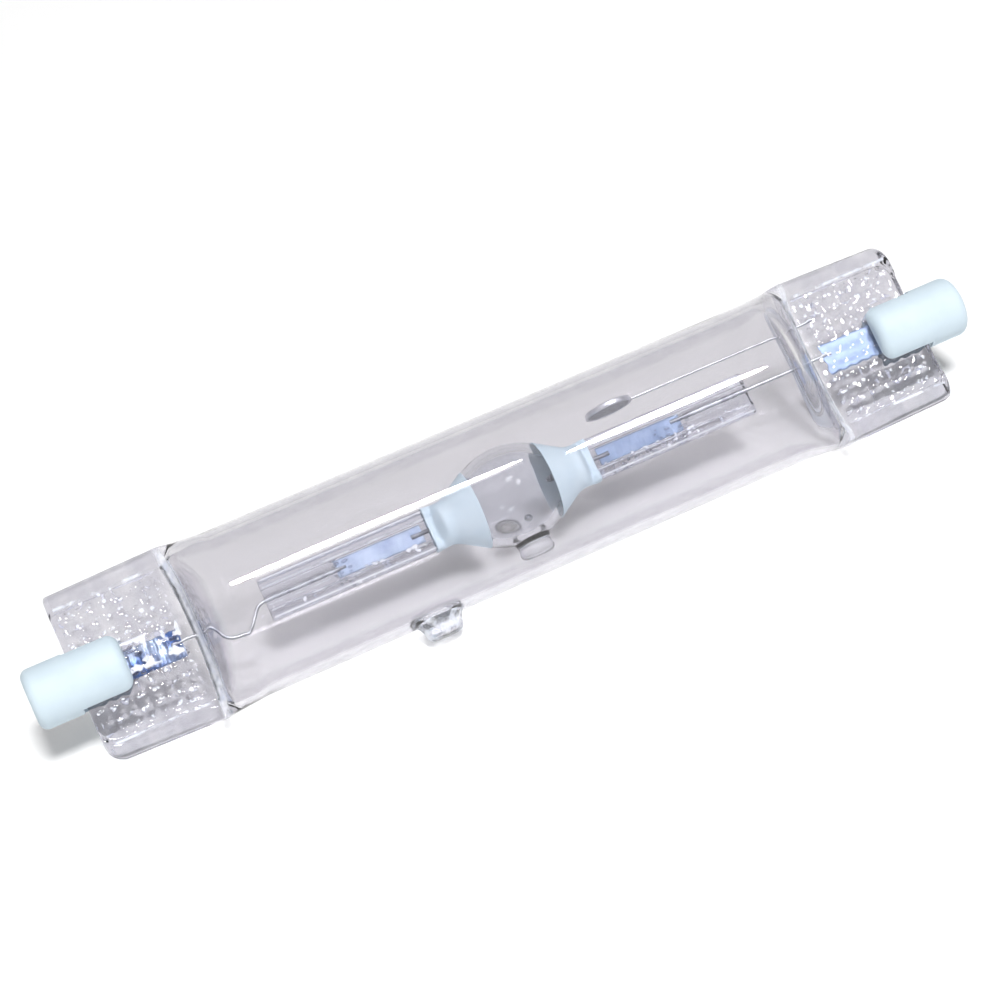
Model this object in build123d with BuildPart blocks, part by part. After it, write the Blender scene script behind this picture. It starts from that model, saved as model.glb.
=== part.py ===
from build123d import *

import os
from math import acos, atan2, cos, hypot, radians, sin

# Double-ended discharge lamp, lying on its side as it comes to rest.
# X runs along the lamp, Z is up, and the origin is the middle of the arc.
# The lamp rests on the bottom of its jacket and on the jacket's exhaust tip.

# Jacket: a silica tube pressed flat at both ends
jacket_radius = 11.5
jacket_wall = 1.25
jacket_straight_half = 40.0
shoulder_length = 6.2
cavity_end = 45.6
shoulder_turns = (0, 25, 50, 70, 84)
seal_cavity_gap = 0.5
pinch_end = 62.1
pinch_width_inner = 24.2
pinch_width_outer = 23.4
pinch_web = 2.9
bead_width = 2.8
bead_height = 3.8
bead_round = 1.35
corner_round = {"left": (0.5, 2.5), "right": (2.0, 1.2)}

# Dimples that the press jaws leave in the pinches
dimple_pitch_along = 2.6
dimple_pitch_across = 2.7
dimple_first = 48.2
dimple_rows = 6
dimple_floor = 1.1
dimple_depth = 0.3
dimple_slope = 40.0

# Exhaust tips, which point the same way
jacket_tip_x = -15.5
jacket_tip_height = 2.4
jacket_tip_radius = 2.7
jacket_tip_round = 1.1
jacket_tip_foot = 3.9
jacket_tip_flare = 0.75
jacket_tip_bore = 0.8
arc_tip_x = 0.2
arc_tip_height = 2.2
arc_tip_radius = 2.5
arc_tip_round = 1.0

# Arc tube: a thick silica barrel between two flat pressed stems
chamber_radius = 6.8
barrel_half = 5.2
barrel_bulge = 1.46
cone_end = 9.2
chamber_wall = 1.3
hollow_end_round = 1.2
neck_radius = 2.9
neck_reach = 10.2
neck_fillet = 2.5
stem_end = 35.7
stem_width = 5.9
stem_web = 1.8
stem_bead_width = 1.5
stem_bead_height = 2.5
stem_bead_round = 0.7
rib_start = 25.5
rib_radius = 0.95

# Reflector coats on the chamber's ends
coat_wall = 0.15
coat_start = 5.25
coat_end = 12.1

# Electrodes and molybdenum foils
electrode_tip = 5.3
rod_radius = 0.3
rod_end = 14.6
coil_wire = 0.18
coil_turns = 4
coil_pitch = 0.34
coil_setback = 0.4
foil_thickness = 0.1
arc_foil_width = 2.5
arc_foil_start = 13.0
arc_foil_end = 25.5
jacket_foil_start = 47.6
jacket_foil_end = 60.0
jacket_foil_width = {"left": 4.0, "right": 4.3}
jacket_foil_drop = {"left": 0.7, "right": 0.1}

# Lead wires
lead_radius = 0.25
weld_overlap = 1.4
lead_rise = {"left": 0.0, "right": 0.5}
wave_drop = 2.9
wave_bottom = 39.8
wave_bottom_flat = 2.4
wave_slope = 1.7
wave_start_drop = 0.05
wave_top_drop = 0.2
wave_crest_drop = 0.85
wave_crest_x = 44.1
lead_seal_drop_left = 0.5

# Getter: a shallow round dish on a wire held in the right pinch
getter_x = 17.2
getter_rise = 5.7
getter_radius = 3.4
getter_height = 0.8
getter_floor = 0.25
getter_rim = 0.35
pellet_height = 0.4
getter_wire_radius = 0.18
getter_wire_seal = 3.4

# Condensed fill on the lowest part of the chamber's wall
dose_x = -1.5
dose_radius = 1.9
dose_thickness = 0.2
mercury_radius = 0.55
mercury_sink = 0.8
mercury_x = 1.6

# Ceramic end caps and their contacts
cap_radius = 4.2
cap_length = 13.3
cap_overlap = 6.9
cap_outer_round = 1.2
cap_inner_round = 1.5
slot_clearance = 0.2
slot_end_gap = 0.5
cement_setback = 0.8
contact_recess = 2.5
contact_well_radius = 1.8
contact_radius = 1.5
contact_clearance = 0.05
contact_thickness = 0.8
lead_bore_clearance = 0.1

# The lamp rolls until jacket and exhaust tip both touch the ground
jacket_tip_reach = jacket_radius + jacket_tip_height
tip_flat_reach = jacket_tip_reach - jacket_tip_round
tip_flat_radius = jacket_tip_radius - jacket_tip_round
rest_roll = atan2(tip_flat_radius, tip_flat_reach) + acos(
    (jacket_radius - jacket_tip_round) / hypot(tip_flat_reach, tip_flat_radius)
)
barrel_edge = chamber_radius - barrel_bulge
barrel_arc = (barrel_half**2 + barrel_bulge**2) / (2 * barrel_bulge)
along = Vector(1, 0, 0)
tip_way = Vector(0, -sin(rest_roll), -cos(rest_roll))
rise_way = tip_way * -1
face_way = Vector(0, -cos(rest_roll), sin(rest_roll))
pinch_plane = Plane(origin=(0, 0, 0), x_dir=along, z_dir=face_way)
sides = (("left", -1), ("right", 1))
margin = 1.0
trim_margin = 0.05

os.makedirs("parts", exist_ok=True)
made = {}


def across(x):
    """Plane square to the lamp at x: its own x is the rise, its y faces out of the pinch."""
    return Plane(origin=(x, 0, 0), x_dir=rise_way, z_dir=along)


def keep(piece, name):
    """Label a finished piece, export it and keep it for the pieces around it."""
    piece.label = name
    export_step(piece, f"parts/{name}.step")
    made[name] = piece


def bar(section, side, start, end):
    """Extrude a section that was drawn at the start outward to the end."""
    extrude(section, amount=end - start, dir=along * side)


def round_bar(side, radius, start, end, rise=0.0):
    """Straight round wire or hole along the lamp."""
    with BuildSketch(across(side * start)) as section:
        with Locations((rise, 0)):
            Circle(radius)
    return section.sketch


def beaded_section(x, width, web, bead, edge_round):
    """Pressed glass section: a web with a thick rounded bead along each edge."""
    bead_w, bead_h = bead
    with BuildSketch(across(x)) as section:
        Rectangle(width - bead_w, web)
        with Locations((width / 2 - bead_w / 2, 0), (bead_w / 2 - width / 2, 0)):
            RectangleRounded(bead_w, bead_h, edge_round)
    return section.sketch


def shoulder_section(x, half_width, half_height):
    """Oval section of the tube where it runs flat."""
    with BuildSketch(across(x)) as section:
        Ellipse(half_width, half_height)
    return section.sketch


def tube_form(radius, end_half_width, end_half_height, shoulder_end):
    """Round tube whose ends run flat through a rounded shoulder."""
    with BuildSketch(across(-jacket_straight_half)) as ring:
        Circle(radius)
    extrude(ring.sketch, amount=2 * jacket_straight_half, dir=along)
    for _, side in sides:
        sections = []
        for turn in shoulder_turns:
            share = sin(radians(turn))
            x = jacket_straight_half + (shoulder_end - jacket_straight_half) * share
            half_width = radius + (end_half_width - radius) * share
            half_height = end_half_height + (radius - end_half_height) * cos(radians(turn))
            sections.append(shoulder_section(side * x, half_width, half_height))
        loft(sections)


def chamber_profile(grow=0.0, necks=True):
    """Half outline of the barrel: a bulged middle between two cones, and a neck at each end."""
    arc_centre = chamber_radius - barrel_arc
    share = (barrel_arc + grow) / barrel_arc
    shoulder_x = barrel_half * share
    shoulder_y = arc_centre + (barrel_edge - arc_centre) * share
    end_x = cone_end + grow
    cone_slope = (barrel_edge - neck_radius) / (cone_end - barrel_half)
    end_y = shoulder_y - cone_slope * (end_x - shoulder_x)
    with BuildSketch(pinch_plane) as profile:
        with BuildLine():
            ThreePointArc((-shoulder_x, shoulder_y), (0, chamber_radius + grow), (shoulder_x, shoulder_y))
            Polyline(
                (shoulder_x, shoulder_y),
                (end_x, end_y),
                (end_x, 0),
                (-end_x, 0),
                (-end_x, end_y),
                (-shoulder_x, shoulder_y),
            )
        make_face()
        if necks:
            with Locations((0, (neck_radius + grow) / 2)):
                Rectangle(2 * (neck_reach + grow), neck_radius + grow)
            above = profile.vertices().filter_by(lambda v: v.Y > neck_radius / 2)
            fillet(above.filter_by(lambda v: shoulder_x + margin < abs(v.X) < neck_reach), neck_fillet)
        else:
            ends = profile.vertices().filter_by(lambda v: v.Y > margin and abs(v.X) > shoulder_x + margin)
            fillet(ends, hollow_end_round)
    return profile.sketch


def chamber_hollow(shrink=0.0):
    """Half outline of the chamber's hollow."""
    return chamber_profile(-chamber_wall - shrink, necks=False)


def stem_section(x, grow=0.0):
    """Section of a pressed stem of the arc tube."""
    bead = (stem_bead_width + 2 * grow, stem_bead_height + 2 * grow)
    return beaded_section(
        x, stem_width + 2 * grow, stem_web + 2 * grow, bead, stem_bead_round + grow
    )


def tip_profile(x, seat, reach, radius, edge_round, foot, flare_top):
    """Half outline of a fused exhaust tip, to be turned round its own axis."""
    with BuildSketch(pinch_plane) as profile:
        with BuildLine():
            Polyline(
                (x, -seat),
                (x + foot, -seat),
                (x + radius, -flare_top),
                (x + radius, -reach),
                (x, -reach),
                close=True,
            )
        make_face()
        end_rim = profile.vertices().sort_by(Axis.Y)[:2].sort_by(Axis.X)[-1]
        fillet(end_rim, edge_round)
        flare = profile.vertices().filter_by(lambda v: abs(v.Y + flare_top) < trim_margin)
        fillet(flare, edge_round)
    return profile.sketch


# Electrode rods: tungsten wire from the arc to the foil
for hand, side in sides:
    with BuildPart() as electrode_rod:
        bar(round_bar(side, rod_radius, electrode_tip, rod_end), side, electrode_tip, rod_end)
    keep(electrode_rod.part, f"electrode_rod_{hand}")

# Electrode coils: tungsten wire close-wound on the rods just behind their tips
for hand, side in sides:
    with BuildPart() as electrode_coil:
        with BuildSketch(pinch_plane):
            for turn in range(coil_turns):
                with Locations((side * (electrode_tip + coil_setback + turn * coil_pitch), rod_radius)):
                    Circle(coil_wire)
            with Locations((side * electrode_tip, -rod_radius)):
                Rectangle(8 * coil_turns * coil_wire, 4 * rod_radius, mode=Mode.SUBTRACT)
        revolve(axis=Axis.X)
        add(made[f"electrode_rod_{hand}"], mode=Mode.SUBTRACT)
    keep(electrode_coil.part, f"electrode_coil_{hand}")

# Arc leads: molybdenum wire from the arc foil to the jacket foil.
# The right one is straight, and the left one has a slack wave in it.
arc_weld = arc_foil_end - weld_overlap
jacket_weld = jacket_foil_start + weld_overlap
with BuildPart() as arc_lead_right:
    bar(round_bar(1, lead_radius, arc_weld, jacket_weld, lead_rise["right"]), 1, arc_weld, jacket_weld)
keep(arc_lead_right.part, "arc_lead_right")

with BuildPart() as arc_lead_left:
    wave_inner = wave_bottom - wave_bottom_flat / 2
    wave_outer = wave_bottom + wave_bottom_flat / 2
    with BuildLine(pinch_plane) as route:
        FilletPolyline(
            (-arc_weld, lead_rise["left"]),
            (-(wave_inner - wave_slope), lead_rise["left"] - wave_start_drop),
            (-wave_inner, -wave_drop),
            (-wave_outer, -wave_drop - wave_start_drop),
            (-(wave_outer + wave_slope), -wave_top_drop),
            (-wave_crest_x, -wave_crest_drop),
            (-(wave_crest_x + margin), -lead_seal_drop_left),
            (-jacket_weld, -lead_seal_drop_left - wave_start_drop),
            radius=[0.9, 1.0, 1.0, 0.9, 0.6, 0.6],
        )
    with BuildSketch(Plane(origin=route.line @ 0, z_dir=route.line % 0)):
        Circle(lead_radius)
    sweep(path=route.line)
keep(arc_lead_left.part, "arc_lead_left")

# Arc foils: thin molybdenum strips that carry the current through the stems
for hand, side in sides:
    with BuildPart() as arc_foil:
        with BuildSketch(across(side * arc_foil_start)) as strip:
            Rectangle(arc_foil_width, foil_thickness)
        bar(strip.sketch, side, arc_foil_start, arc_foil_end)
        add(made[f"electrode_rod_{hand}"], mode=Mode.SUBTRACT)
        add(made[f"arc_lead_{hand}"], mode=Mode.SUBTRACT)
    keep(arc_foil.part, f"arc_foil_{hand}")

# Arc tube: one sealed piece of silica, fused round what its stems hold
with BuildPart() as arc_tube:
    revolve(chamber_profile(), axis=Axis.X)
    for hand, side in sides:
        bar(stem_section(side * barrel_half), side, barrel_half, stem_end)
        bar(round_bar(side, rib_radius, rib_start, stem_end, lead_rise[hand]), side, rib_start, stem_end)
    tip_axis = Axis((arc_tip_x, 0, 0), tip_way)
    revolve(
        tip_profile(
            arc_tip_x,
            chamber_radius - chamber_wall / 2,
            chamber_radius + arc_tip_height,
            arc_tip_radius,
            arc_tip_round,
            arc_tip_radius + chamber_wall / 2,
            chamber_radius + chamber_wall / 4,
        ),
        axis=tip_axis,
    )
    revolve(chamber_hollow(), axis=Axis.X, mode=Mode.SUBTRACT)
    for hand, side in sides:
        for held in ("electrode_rod", "arc_foil", "arc_lead"):
            add(made[f"{held}_{hand}"], mode=Mode.SUBTRACT)
keep(arc_tube.part, "arc_tube")

# Reflector coats: white zirconia baked onto the chamber's ends
for hand, side in sides:
    with BuildPart() as reflector_coat:
        revolve(chamber_profile(coat_wall), axis=Axis.X)
        bar(stem_section(side * barrel_half, coat_wall), side, barrel_half, stem_end)
        with BuildSketch(across(side * coat_start)) as band:
            Rectangle(4 * chamber_radius, 4 * chamber_radius)
        extrude(band.sketch, amount=coat_end - coat_start, dir=along * side, mode=Mode.INTERSECT)
        with BuildSketch(across(side * coat_start)) as core:
            Rectangle(stem_width - stem_bead_width, stem_web)
        extrude(core.sketch, amount=coat_end - coat_start, dir=along * side, mode=Mode.SUBTRACT)
        revolve(chamber_hollow(), axis=Axis.X, mode=Mode.SUBTRACT)
        add(made["arc_tube"], mode=Mode.SUBTRACT)
    keep(reflector_coat.part, f"reflector_coat_{hand}")

# Condensed metal salts: a thin skin on the lowest part of the chamber's wall
with BuildPart() as halide_film:
    revolve(chamber_hollow(), axis=Axis.X)
    with BuildSketch(Plane.XY.offset(-chamber_radius)) as patch:
        with Locations((dose_x, 0)):
            Circle(dose_radius)
    extrude(patch.sketch, amount=chamber_radius / 2, mode=Mode.INTERSECT)
    revolve(chamber_hollow(dose_thickness), axis=Axis.X, mode=Mode.SUBTRACT)
keep(halide_film.part, "halide_film")

# Mercury: one bead that lies beside the salts
with BuildPart() as mercury_bead:
    wall_radius = barrel_arc - chamber_wall
    wall_rise = wall_radius - (wall_radius**2 - mercury_x**2) ** 0.5
    bead_seat = chamber_radius - chamber_wall - wall_rise
    with Locations((mercury_x, 0, mercury_radius * mercury_sink - bead_seat)):
        Sphere(mercury_radius)
    revolve(chamber_hollow(), axis=Axis.X, mode=Mode.INTERSECT)
keep(mercury_bead.part, "mercury_bead")

# Getter dish: pressed steel, open towards the exhaust tips
getter_top = getter_rise + getter_height / 2
dish_plane = Plane(origin=(getter_x, 0, 0) + rise_way * getter_top, x_dir=along, z_dir=tip_way)
with BuildPart() as getter_dish:
    with BuildSketch(dish_plane) as disc:
        Circle(getter_radius)
    extrude(disc.sketch, amount=getter_height)
    with BuildSketch(dish_plane.offset(getter_floor)) as well:
        Circle(getter_radius - getter_rim)
    extrude(well.sketch, amount=getter_height, mode=Mode.SUBTRACT)
keep(getter_dish.part, "getter_dish")

# Getter pellet: sintered powder pressed into the dish
with BuildPart() as getter_pellet:
    with BuildSketch(dish_plane.offset(getter_floor)) as fill:
        Circle(getter_radius - getter_rim)
    extrude(fill.sketch, amount=pellet_height)
keep(getter_pellet.part, "getter_pellet")

# Getter wire: welded to the dish's rim and held in the right pinch
with BuildPart() as getter_wire:
    wire_start = getter_x + getter_radius - getter_rim / 2
    wire_end = cavity_end + getter_wire_seal
    bar(round_bar(1, getter_wire_radius, wire_start, wire_end, getter_rise), 1, wire_start, wire_end)
    add(made["getter_dish"], mode=Mode.SUBTRACT)
keep(getter_wire.part, "getter_wire")

# Outer leads: from the jacket foil through the cap to the contact
cap_end = pinch_end - cap_overlap + cap_length
contact_seat = cap_end - contact_recess - contact_thickness
lead_end = contact_seat + contact_thickness / 2
outer_weld = jacket_foil_end - weld_overlap
for hand, side in sides:
    with BuildPart() as outer_lead:
        bar(round_bar(side, lead_radius, outer_weld, lead_end), side, outer_weld, lead_end)
    keep(outer_lead.part, f"outer_lead_{hand}")

# Jacket foils: wider molybdenum strips sealed into the pinches
for hand, side in sides:
    with BuildPart() as jacket_foil:
        with BuildSketch(across(side * jacket_foil_start)) as strip:
            with Locations((-jacket_foil_drop[hand], 0)):
                Rectangle(jacket_foil_width[hand], foil_thickness)
        bar(strip.sketch, side, jacket_foil_start, jacket_foil_end)
        add(made[f"arc_lead_{hand}"], mode=Mode.SUBTRACT)
        add(made[f"outer_lead_{hand}"], mode=Mode.SUBTRACT)
    keep(jacket_foil.part, f"jacket_foil_{hand}")

# Outer jacket: one sealed silica tube with its two pressed ends and its tip
pinch_root = jacket_straight_half + shoulder_length / 2


def pinch_outline(hand, side, grow=0.0):
    """Outline of a pressed end, which narrows outward and has that end's corner rounds."""
    with BuildSketch(pinch_plane) as outline:
        with BuildLine():
            Polyline(
                (side * pinch_root, pinch_width_inner / 2 + grow),
                (side * pinch_end, pinch_width_outer / 2 + grow),
                (side * pinch_end, -pinch_width_outer / 2 - grow),
                (side * pinch_root, -pinch_width_inner / 2 - grow),
                close=True,
            )
        make_face()
        for rank, size in zip((-1, 0), corner_round[hand]):
            ends = outline.vertices().filter_by(lambda v: v.X * side > pinch_end - margin)
            fillet(ends.sort_by(Axis.Y)[rank], size)
    return outline.sketch


def pinch_form(hand, side):
    """Pressed end of the jacket: a web with a thick bead along each edge."""
    run = Vector(pinch_end - pinch_root, (pinch_width_outer - pinch_width_inner) / 2)
    with BuildPart() as pinch:
        for edge in (1, -1):
            way = along * side * run.X + rise_way * edge * run.Y
            inner_edge = along * side * pinch_root + rise_way * edge * pinch_width_inner / 2
            with BuildSketch(Plane(origin=inner_edge, x_dir=face_way, z_dir=way)) as section:
                with Locations((0, side * edge * bead_width / 2)):
                    RectangleRounded(bead_height, bead_width, bead_round)
            extrude(section.sketch, amount=run.length + margin)
        extrude(pinch_outline(hand, side, trim_margin), amount=bead_height, both=True, mode=Mode.INTERSECT)
        extrude(pinch_outline(hand, side), amount=pinch_web / 2, both=True)
        for face in (1, -1):
            dimple_face(side, face)
    return pinch.part


def dimple_face(side, face):
    """Rows of shallow pockets that the press jaw leaves on one face of a pinch."""
    floor_plane = Plane(
        origin=face_way * face * (pinch_web / 2 - dimple_depth),
        x_dir=along,
        z_dir=face_way * face,
    )
    columns = int((pinch_end - dimple_first) / dimple_pitch_along)
    with BuildSketch(floor_plane) as dimples:
        for column in range(columns):
            x = dimple_first + column * dimple_pitch_along
            for row in range(dimple_rows):
                rise = (row - (dimple_rows - 1) / 2) * dimple_pitch_across
                near_cap = x > pinch_end - cap_overlap - dimple_pitch_along / 2
                if near_cap and abs(rise) < cap_radius + dimple_pitch_across / 2:
                    continue
                with Locations((side * x, rise * face)):
                    Rectangle(dimple_floor, dimple_floor)
    extrude(dimples.sketch, amount=dimple_depth, taper=-dimple_slope, mode=Mode.SUBTRACT)


with BuildPart() as jacket_hollow:
    tube_form(
        jacket_radius - jacket_wall,
        pinch_width_inner / 2 - jacket_wall,
        seal_cavity_gap / 2,
        cavity_end,
    )

with BuildPart() as outer_jacket:
    tube_form(
        jacket_radius,
        pinch_width_inner / 2,
        pinch_web / 2,
        jacket_straight_half + shoulder_length,
    )
    for hand, side in sides:
        add(pinch_form(hand, side))
    tip_axis = Axis((jacket_tip_x, 0, 0), tip_way)
    revolve(
        tip_profile(
            jacket_tip_x,
            jacket_radius - jacket_wall / 2,
            jacket_tip_reach,
            jacket_tip_radius,
            jacket_tip_round,
            jacket_tip_foot,
            jacket_radius + jacket_tip_flare,
        ),
        axis=tip_axis,
    )
    add(jacket_hollow.part, mode=Mode.SUBTRACT)
    tip_bore_plane = Plane(origin=(jacket_tip_x, 0, 0), x_dir=along, z_dir=tip_way)
    with BuildSketch(tip_bore_plane):
        Circle(jacket_tip_bore)
    extrude(amount=jacket_tip_reach - jacket_tip_round, mode=Mode.SUBTRACT)
    for hand, side in sides:
        for held in ("jacket_foil", "arc_lead", "outer_lead"):
            add(made[f"{held}_{hand}"], mode=Mode.SUBTRACT)
    add(made["getter_wire"], mode=Mode.SUBTRACT)
keep(outer_jacket.part, "outer_jacket")

# End caps: glazed-white steatite, slotted to straddle the pinch, with a contact well
cap_start = cap_end - cap_length
slot_height = pinch_web + 2 * slot_clearance
slot_end = pinch_end + slot_end_gap
for hand, side in sides:
    with BuildPart() as end_cap:
        with BuildSketch(across(side * cap_start)) as disc:
            Circle(cap_radius)
        bar(disc.sketch, side, cap_start, cap_end)
        ends = end_cap.edges().filter_by(GeomType.CIRCLE).sort_by(Axis.X)
        outer, inner = (ends[-1], ends[0]) if side > 0 else (ends[0], ends[-1])
        fillet(outer, cap_outer_round)
        fillet(inner, cap_inner_round)
        with BuildSketch(across(side * (cap_start - margin))) as slot:
            Rectangle(4 * cap_radius, slot_height)
        extrude(
            slot.sketch,
            amount=slot_end - cap_start + margin,
            dir=along * side,
            mode=Mode.SUBTRACT,
        )
        with BuildSketch(across(side * (cap_end - contact_recess))) as well:
            Circle(contact_well_radius)
        extrude(
            well.sketch,
            amount=contact_recess + margin,
            dir=along * side,
            mode=Mode.SUBTRACT,
        )
        with BuildSketch(across(side * contact_seat)) as pocket:
            Circle(contact_radius + contact_clearance)
        extrude(
            pocket.sketch,
            amount=contact_thickness + margin,
            dir=along * side,
            mode=Mode.SUBTRACT,
        )
        with BuildSketch(across(side * slot_end)) as lead_bore:
            Circle(lead_radius + lead_bore_clearance)
        extrude(
            lead_bore.sketch,
            amount=contact_seat - slot_end + margin,
            dir=along * side,
            mode=Mode.SUBTRACT,
        )
    keep(end_cap.part, f"end_cap_{hand}")

# Cap cement: refractory cement that fills the slot round the pinch
for hand, side in sides:
    with BuildPart() as cap_cement:
        with BuildSketch(across(side * (cap_start + cement_setback))) as fill:
            Rectangle(2 * (cap_radius - cement_setback), slot_height)
        bar(fill.sketch, side, cap_start + cement_setback, slot_end)
        add(made["outer_jacket"], mode=Mode.SUBTRACT)
        add(made[f"outer_lead_{hand}"], mode=Mode.SUBTRACT)
        add(made[f"jacket_foil_{hand}"], mode=Mode.SUBTRACT)
    keep(cap_cement.part, f"cap_cement_{hand}")

# Cap contacts: nickel buttons at the bottom of the wells, crimped on the leads
for hand, side in sides:
    with BuildPart() as cap_contact:
        with BuildSketch(across(side * contact_seat)) as button:
            Circle(contact_radius)
        bar(button.sketch, side, contact_seat, contact_seat + contact_thickness)
        add(made[f"outer_lead_{hand}"], mode=Mode.SUBTRACT)
    keep(cap_contact.part, f"cap_contact_{hand}")
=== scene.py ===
import random
from math import cos, pi, radians, sin, sqrt

import bmesh
import bpy
from mathutils import Matrix, Vector


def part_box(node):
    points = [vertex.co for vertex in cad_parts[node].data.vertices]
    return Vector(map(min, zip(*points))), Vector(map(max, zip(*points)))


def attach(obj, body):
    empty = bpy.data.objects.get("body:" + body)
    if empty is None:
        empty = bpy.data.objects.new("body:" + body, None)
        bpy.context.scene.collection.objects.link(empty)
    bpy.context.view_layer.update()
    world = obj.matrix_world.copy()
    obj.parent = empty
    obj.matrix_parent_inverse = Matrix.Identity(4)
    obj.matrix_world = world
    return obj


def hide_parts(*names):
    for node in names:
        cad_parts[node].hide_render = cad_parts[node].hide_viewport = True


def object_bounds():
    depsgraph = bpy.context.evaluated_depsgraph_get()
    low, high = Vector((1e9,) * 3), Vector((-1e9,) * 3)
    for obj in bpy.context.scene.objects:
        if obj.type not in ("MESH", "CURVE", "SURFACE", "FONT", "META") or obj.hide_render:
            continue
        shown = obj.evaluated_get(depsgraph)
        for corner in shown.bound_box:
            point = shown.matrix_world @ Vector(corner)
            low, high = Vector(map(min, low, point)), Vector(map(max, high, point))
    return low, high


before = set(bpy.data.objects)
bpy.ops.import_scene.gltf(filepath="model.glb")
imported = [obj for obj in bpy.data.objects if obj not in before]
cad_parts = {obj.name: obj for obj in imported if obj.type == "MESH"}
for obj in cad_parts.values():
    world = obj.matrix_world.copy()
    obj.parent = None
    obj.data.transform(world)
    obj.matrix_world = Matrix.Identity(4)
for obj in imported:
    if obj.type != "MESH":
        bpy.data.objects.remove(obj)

cad_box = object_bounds()

# Electrode rods and coils: a tungsten rod at each end of the arc, with a close-wound
# tungsten coil pushed over it behind the tip. Drawn wire, dulled by the first firing.
tungsten_grey = (0.42, 0.43, 0.47, 1.0)
tungsten_dark = (0.26, 0.27, 0.30, 1.0)


def new_material(name):
    """A material with its node tree and its shader."""
    material = bpy.data.materials.new(name)
    material.use_nodes = True
    return material, material.node_tree, material.node_tree.nodes["Principled BSDF"]


def feed(tree, value, socket):
    """Link a socket to another one, or give it a plain value."""
    if isinstance(value, bpy.types.NodeSocket):
        tree.links.new(value, socket)
    else:
        socket.default_value = value


def object_place(tree):
    """The place on the piece, in metres."""
    return tree.nodes.new("ShaderNodeTexCoord").outputs["Object"]


def noise(tree, place, scale, detail):
    """Noise from 0 to 1, with that many waves in a metre."""
    node = tree.nodes.new("ShaderNodeTexNoise")
    node.inputs["Detail"].default_value = detail
    feed(tree, scale, node.inputs["Scale"])
    tree.links.new(place, node.inputs["Vector"])
    return node.outputs["Fac"]


def ramp(tree, value, start, end, first=0.0, last=1.0):
    """From first to last while the value goes from start to end."""
    node = tree.nodes.new("ShaderNodeMapRange")
    names = ("Value", "From Min", "From Max", "To Min", "To Max")
    for name, given in zip(names, (value, start, end, first, last)):
        feed(tree, given, node.inputs[name])
    return node.outputs["Result"]


def blend(tree, share, first, second):
    """A colour between two others."""
    node = tree.nodes.new("ShaderNodeMix")
    node.data_type = "RGBA"
    for name, given in zip(("Factor", "A", "B"), (share, first, second)):
        feed(tree, given, node.inputs[name])
    return node.outputs["Result"]


def raise_surface(tree, shader, height, strength, distance):
    """Turn a height into the fine relief of the surface."""
    bump = tree.nodes.new("ShaderNodeBump")
    bump.inputs["Strength"].default_value = strength
    bump.inputs["Distance"].default_value = distance
    tree.links.new(height, bump.inputs["Height"])
    tree.links.new(bump.outputs["Normal"], shader.inputs["Normal"])


def build_mottle():
    """Node group: soft patches of a second tone, and a fine grain as a height."""
    group = bpy.data.node_groups.new("Fired mottle", "ShaderNodeTree")
    for name, way, kind in (
        ("Tone", "INPUT", "NodeSocketColor"),
        ("Patch tone", "INPUT", "NodeSocketColor"),
        ("Patches per metre", "INPUT", "NodeSocketFloat"),
        ("Grains per metre", "INPUT", "NodeSocketFloat"),
        ("Colour", "OUTPUT", "NodeSocketColor"),
        ("Height", "OUTPUT", "NodeSocketFloat"),
    ):
        group.interface.new_socket(name, in_out=way, socket_type=kind)
    given = group.nodes.new("NodeGroupInput").outputs
    result = group.nodes.new("NodeGroupOutput").inputs
    place = object_place(group)
    patch = ramp(group, noise(group, place, given["Patches per metre"], 3.0), 0.38, 0.66)
    group.links.new(blend(group, patch, given["Tone"], given["Patch tone"]), result["Colour"])
    group.links.new(noise(group, place, given["Grains per metre"], 5.0), result["Height"])
    return group


mottle = build_mottle()


def mottled(name, tone, patch_tone, patches, grains, relief, roughness, metallic=0.0):
    """A material in two tones, with so many patches and grains in a metre."""
    material, tree, shader = new_material(name)
    effect = tree.nodes.new("ShaderNodeGroup")
    effect.node_tree = mottle
    effect.inputs["Tone"].default_value = tone
    effect.inputs["Patch tone"].default_value = patch_tone
    effect.inputs["Patches per metre"].default_value = patches
    effect.inputs["Grains per metre"].default_value = grains
    tree.links.new(effect.outputs["Colour"], shader.inputs["Base Color"])
    raise_surface(tree, shader, effect.outputs["Height"], 0.5, relief)
    shader.inputs["Roughness"].default_value = roughness
    shader.inputs["Metallic"].default_value = metallic
    return material


def dress(material, *node_names):
    """Give nodes of the frame their material."""
    for node_name in node_names:
        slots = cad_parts[node_name].data.materials
        slots.clear()
        slots.append(material)


tungsten = mottled(
    "Drawn tungsten", tungsten_grey, tungsten_dark,
    patches=900.0, grains=6000.0, relief=0.00001, roughness=0.42, metallic=1.0,
)
dress(tungsten, "electrode_rod_left", "electrode_rod_right", "electrode_coil_left", "electrode_coil_right")

# Lead wires: round drawn wire. The right arc lead and the two outer leads are molybdenum,
# welded to the foils, and a thinner wire of the same brightness carries the getter.
wire_bright = (0.66, 0.68, 0.71, 1.0)
wire_worn = (0.42, 0.43, 0.46, 1.0)

wire_metal = mottled(
    "Molybdenum wire", wire_bright, wire_worn,
    patches=700.0, grains=9000.0, relief=0.000006, roughness=0.3, metallic=1.0,
)
dress(wire_metal, "arc_lead_right", "outer_lead_left", "outer_lead_right", "getter_wire")

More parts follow.
